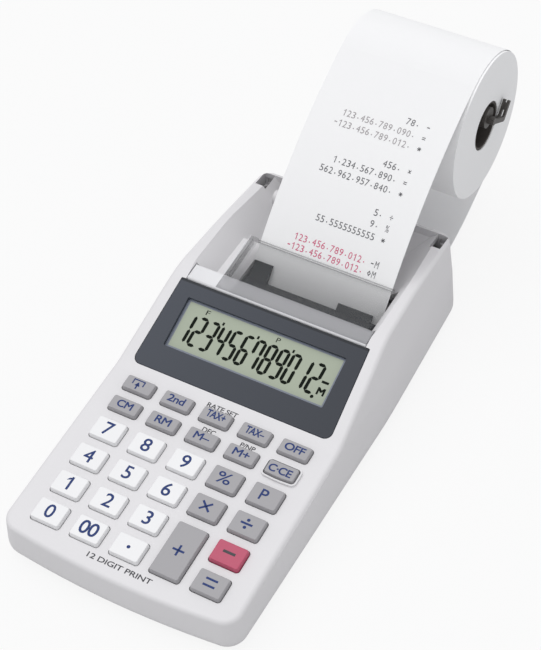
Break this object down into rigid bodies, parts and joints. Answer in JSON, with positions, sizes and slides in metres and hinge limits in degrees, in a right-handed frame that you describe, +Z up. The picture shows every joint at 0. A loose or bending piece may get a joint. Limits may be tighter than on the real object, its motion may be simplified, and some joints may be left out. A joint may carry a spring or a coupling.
{
  "type": "printing desktop calculator",
  "caption": "Hand-held printing calculator: sloping keypad and display, hinged clear cover with tear edge, inner printer, paper roll on a folding rear holder.",
  "frame": {"origin": "middle of the bounding box, on the surface that the feet stand on", "axes": "+X to the user's right, +Y away from the user towards the paper roll, +Z up"},
  "size_m": [0.099, 0.2623, 0.0919],
  "materials": {
    "case_white": "fine satin moulded plastic",
    "panel_slate": "satin printed plastic",
    "display_glass": "flat grey-green display",
    "inner_grey": "plain moulded plastic",
    "keypad_rubber": "matt silicone rubber",
    "board_green": "lacquered board",
    "clear_cover": "clear moulded plastic",
    "guide_slate": "satin moulded plastic",
    "frame_steel": "pressed sheet steel",
    "rod_steel": "ground steel",
    "motor_steel": "plated can",
    "gear_nylon": "natural nylon",
    "wheel_rubber": "matt black rubber",
    "ink_foam": "inked foam",
    "paper_white": "uncoated paper",
    "core_card": "wound card",
    "holder_grey": "satin moulded plastic",
    "cell_jacket": "printed film jacket",
    "inner_black": "black moulded plastic",
    "foot_rubber": "matt rubber",
    "key_white": "satin moulded plastic",
    "key_grey": "satin moulded plastic",
    "key_red": "satin moulded plastic"
  },
  "bodies": {
    "case": {"upper_case": "case_white", "lower_case": "case_white", "display_window": "panel_slate", "lcd_glass": "display_glass", "lcd_frame": "inner_grey", "rubber_keypad": "keypad_rubber", "main_board": "board_green", "guide_cover": "guide_slate", "printer_frame": "frame_steel", "carriage_rod": "rod_steel", "printer_motor": "motor_steel", "platen": "rod_steel", "paper_tape": "paper_white", "batteries": "cell_jacket", "battery_contacts": "rod_steel", "dc_jack": "inner_black", "feet": "foot_rubber", "case_screws": "rod_steel"},
    "printer_cover_body": {"printer_cover": "clear_cover"},
    "roll_holder_body": {"roll_holder": "holder_grey"},
    "roll_body": {"paper_roll": "paper_white", "roll_core": "core_card"},
    "battery_cover_body": {"battery_cover": "case_white"},
    "carriage_body": {"carriage": "guide_slate"},
    "drive_shaft_body": {"drive_shaft": "gear_nylon"},
    "reduction_gear_body": {"reduction_gear": "gear_nylon"},
    "motor_pinion_body": {"motor_pinion": "gear_nylon"},
    "feed_roller_body": {"feed_roller": "wheel_rubber"},
    "pinch_roller_body": {"pinch_rollers": "wheel_rubber"},
    "print_wheel_body": {"print_wheel": "wheel_rubber"},
    "ink_roller_body": {"ink_roller": "ink_foam"},
    "key_feed_body": {"key_feed": "key_grey"},
    "key_second_body": {"key_second": "key_grey"},
    "key_tax_plus_body": {"key_tax_plus": "key_grey"},
    "key_tax_minus_body": {"key_tax_minus": "key_grey"},
    "key_off_body": {"key_off": "key_grey"},
    "key_memory_clear_body": {"key_memory_clear": "key_grey"},
    "key_memory_recall_body": {"key_memory_recall": "key_grey"},
    "key_memory_minus_body": {"key_memory_minus": "key_grey"},
    "key_memory_plus_body": {"key_memory_plus": "key_grey"},
    "key_clear_body": {"key_clear": "key_grey"},
    "key_7_body": {"key_7": "key_white"},
    "key_8_body": {"key_8": "key_white"},
    "key_9_body": {"key_9": "key_white"},
    "key_percent_body": {"key_percent": "key_grey"},
    "key_print_body": {"key_print": "key_grey"},
    "key_4_body": {"key_4": "key_white"},
    "key_5_body": {"key_5": "key_white"},
    "key_6_body": {"key_6": "key_white"},
    "key_multiply_body": {"key_multiply": "key_grey"},
    "key_divide_body": {"key_divide": "key_grey"},
    "key_1_body": {"key_1": "key_white"},
    "key_2_body": {"key_2": "key_white"},
    "key_3_body": {"key_3": "key_white"},
    "key_minus_body": {"key_minus": "key_red"},
    "key_0_body": {"key_0": "key_white"},
    "key_double_zero_body": {"key_double_zero": "key_white"},
    "key_point_body": {"key_point": "key_white"},
    "key_plus_body": {"key_plus": "key_grey"},
    "key_equals_body": {"key_equals": "key_grey"}
  },
  "joints": [
    {"name": "printer_cover_hinge", "type": "hinge", "parent": "case", "child": "printer_cover_body", "pos_m": [0, -0.00845, 0.0395], "axis": [1, 0, 0], "range_deg": [0, 95]},
    {"name": "roll_holder_fold", "type": "hinge", "parent": "case", "child": "roll_holder_body", "pos_m": [0, 0.04935, 0.036], "axis": [1, 0, 0], "range_deg": [0, 30], "deforming": ["paper_tape"]},
    {"name": "roll_turn", "type": "hinge", "parent": "roll_holder_body", "child": "roll_body", "pos_m": [0, 0.10055, 0.0609], "axis": [1, 0, 0], "continuous": true},
    {"name": "battery_cover_slide", "type": "slide", "parent": "case", "child": "battery_cover_body", "axis": [0, 1, 0], "range_m": [0, 0.005]},
    {"name": "carriage_slide", "type": "slide", "parent": "case", "child": "carriage_body", "axis": [1, 0, 0], "range_m": [0, 0.042]},
    {"name": "drive_shaft_turn", "type": "hinge", "parent": "case", "child": "drive_shaft_body", "pos_m": [0, 0.00074, 0.025], "axis": [1, 0, 0], "continuous": true},
    {"name": "reduction_gear_turn", "type": "hinge", "parent": "case", "child": "reduction_gear_body", "pos_m": [0, 0.00976, 0.02172], "axis": [1, 0, 0], "continuous": true},
    {"name": "motor_pinion_turn", "type": "hinge", "parent": "case", "child": "motor_pinion_body", "pos_m": [0, 0.01976, 0.02172], "axis": [1, 0, 0], "continuous": true},
    {"name": "feed_roller_turn", "type": "hinge", "parent": "case", "child": "feed_roller_body", "pos_m": [0, 0.02614, 0.01936], "axis": [1, 0, 0], "continuous": true},
    {"name": "pinch_roller_turn", "type": "hinge", "parent": "case", "child": "pinch_roller_body", "pos_m": [0, 0.02614, 0.01306], "axis": [1, 0, 0], "continuous": true},
    {"name": "print_wheel_turn", "type": "hinge", "parent": "carriage_body", "child": "print_wheel_body", "pos_m": [0, 0.00074, 0.025], "axis": [1, 0, 0], "continuous": true},
    {"name": "ink_roller_turn", "type": "hinge", "parent": "carriage_body", "child": "ink_roller_body", "pos_m": [0, -0.00567, 0.0287], "axis": [1, 0, 0], "continuous": true},
    {"name": "press_feed", "type": "slide", "parent": "case", "child": "key_feed_body", "axis": [0, 0.0906, -0.9959], "range_m": [0, 0.0012], "stiffness_N_per_m": 300, "springref_m": -0.0005},
    {"name": "press_second", "type": "slide", "parent": "case", "child": "key_second_body", "axis": [0, 0.0906, -0.9959], "range_m": [0, 0.0012], "stiffness_N_per_m": 300, "springref_m": -0.0005},
    {"name": "press_tax_plus", "type": "slide", "parent": "case", "child": "key_tax_plus_body", "axis": [0, 0.0906, -0.9959], "range_m": [0, 0.0012], "stiffness_N_per_m": 300, "springref_m": -0.0005},
    {"name": "press_tax_minus", "type": "slide", "parent": "case", "child": "key_tax_minus_body", "axis": [0, 0.0906, -0.9959], "range_m": [0, 0.0012], "stiffness_N_per_m": 300, "springref_m": -0.0005},
    {"name": "press_off", "type": "slide", "parent": "case", "child": "key_off_body", "axis": [0, 0.0906, -0.9959], "range_m": [0, 0.0012], "stiffness_N_per_m": 300, "springref_m": -0.0005},
    {"name": "press_memory_clear", "type": "slide", "parent": "case", "child": "key_memory_clear_body", "axis": [0, 0.0906, -0.9959], "range_m": [0, 0.0012], "stiffness_N_per_m": 300, "springref_m": -0.0005},
    {"name": "press_memory_recall", "type": "slide", "parent": "case", "child": "key_memory_recall_body", "axis": [0, 0.0906, -0.9959], "range_m": [0, 0.0012], "stiffness_N_per_m": 300, "springref_m": -0.0005},
    {"name": "press_memory_minus", "type": "slide", "parent": "case", "child": "key_memory_minus_body", "axis": [0, 0.0906, -0.9959], "range_m": [0, 0.0012], "stiffness_N_per_m": 300, "springref_m": -0.0005},
    {"name": "press_memory_plus", "type": "slide", "parent": "case", "child": "key_memory_plus_body", "axis": [0, 0.0906, -0.9959], "range_m": [0, 0.0012], "stiffness_N_per_m": 300, "springref_m": -0.0005},
    {"name": "press_clear", "type": "slide", "parent": "case", "child": "key_clear_body", "axis": [0, 0.0906, -0.9959], "range_m": [0, 0.0012], "stiffness_N_per_m": 300, "springref_m": -0.0005},
    {"name": "press_7", "type": "slide", "parent": "case", "child": "key_7_body", "axis": [0, 0.0906, -0.9959], "range_m": [0, 0.0012], "stiffness_N_per_m": 300, "springref_m": -0.0005},
    {"name": "press_8", "type": "slide", "parent": "case", "child": "key_8_body", "axis": [0, 0.0906, -0.9959], "range_m": [0, 0.0012], "stiffness_N_per_m": 300, "springref_m": -0.0005},
    {"name": "press_9", "type": "slide", "parent": "case", "child": "key_9_body", "axis": [0, 0.0906, -0.9959], "range_m": [0, 0.0012], "stiffness_N_per_m": 300, "springref_m": -0.0005},
    {"name": "press_percent", "type": "slide", "parent": "case", "child": "key_percent_body", "axis": [0, 0.0906, -0.9959], "range_m": [0, 0.0012], "stiffness_N_per_m": 300, "springref_m": -0.0005},
    {"name": "press_print", "type": "slide", "parent": "case", "child": "key_print_body", "axis": [0, 0.0906, -0.9959], "range_m": [0, 0.0012], "stiffness_N_per_m": 300, "springref_m": -0.0005},
    {"name": "press_4", "type": "slide", "parent": "case", "child": "key_4_body", "axis": [0, 0.0906, -0.9959], "range_m": [0, 0.0012], "stiffness_N_per_m": 300, "springref_m": -0.0005},
    {"name": "press_5", "type": "slide", "parent": "case", "child": "key_5_body", "axis": [0, 0.0906, -0.9959], "range_m": [0, 0.0012], "stiffness_N_per_m": 300, "springref_m": -0.0005},
    {"name": "press_6", "type": "slide", "parent": "case", "child": "key_6_body", "axis": [0, 0.0906, -0.9959], "range_m": [0, 0.0012], "stiffness_N_per_m": 300, "springref_m": -0.0005},
    {"name": "press_multiply", "type": "slide", "parent": "case", "child": "key_multiply_body", "axis": [0, 0.0906, -0.9959], "range_m": [0, 0.0012], "stiffness_N_per_m": 300, "springref_m": -0.0005},
    {"name": "press_divide", "type": "slide", "parent": "case", "child": "key_divide_body", "axis": [0, 0.0906, -0.9959], "range_m": [0, 0.0012], "stiffness_N_per_m": 300, "springref_m": -0.0005},
    {"name": "press_1", "type": "slide", "parent": "case", "child": "key_1_body", "axis": [0, 0.0906, -0.9959], "range_m": [0, 0.0012], "stiffness_N_per_m": 300, "springref_m": -0.0005},
    {"name": "press_2", "type": "slide", "parent": "case", "child": "key_2_body", "axis": [0, 0.0906, -0.9959], "range_m": [0, 0.0012], "stiffness_N_per_m": 300, "springref_m": -0.0005},
    {"name": "press_3", "type": "slide", "parent": "case", "child": "key_3_body", "axis": [0, 0.0906, -0.9959], "range_m": [0, 0.0012], "stiffness_N_per_m": 300, "springref_m": -0.0005},
    {"name": "press_minus", "type": "slide", "parent": "case", "child": "key_minus_body", "axis": [0, 0.0906, -0.9959], "range_m": [0, 0.0012], "stiffness_N_per_m": 300, "springref_m": -0.0005},
    {"name": "press_0", "type": "slide", "parent": "case", "child": "key_0_body", "axis": [0, 0.0906, -0.9959], "range_m": [0, 0.0012], "stiffness_N_per_m": 300, "springref_m": -0.0005},
    {"name": "press_double_zero", "type": "slide", "parent": "case", "child": "key_double_zero_body", "axis": [0, 0.0906, -0.9959], "range_m": [0, 0.0012], "stiffness_N_per_m": 300, "springref_m": -0.0005},
    {"name": "press_point", "type": "slide", "parent": "case", "child": "key_point_body", "axis": [0, 0.0906, -0.9959], "range_m": [0, 0.0012], "stiffness_N_per_m": 300, "springref_m": -0.0005},
    {"name": "press_plus", "type": "slide", "parent": "case", "child": "key_plus_body", "axis": [0, 0.0906, -0.9959], "range_m": [0, 0.0012], "stiffness_N_per_m": 300, "springref_m": -0.0005},
    {"name": "press_equals", "type": "slide", "parent": "case", "child": "key_equals_body", "axis": [0, 0.0906, -0.9959], "range_m": [0, 0.0012], "stiffness_N_per_m": 300, "springref_m": -0.0005}
  ],
  "couplings": [
    {"joint": "reduction_gear_turn", "follows": "drive_shaft_turn", "ratio": -3},
    {"joint": "motor_pinion_turn", "follows": "drive_shaft_turn", "ratio": 12},
    {"joint": "feed_roller_turn", "follows": "drive_shaft_turn", "ratio": -5},
    {"joint": "pinch_roller_turn", "follows": "drive_shaft_turn", "ratio": 7},
    {"joint": "print_wheel_turn", "follows": "drive_shaft_turn", "ratio": 1}
  ]
}
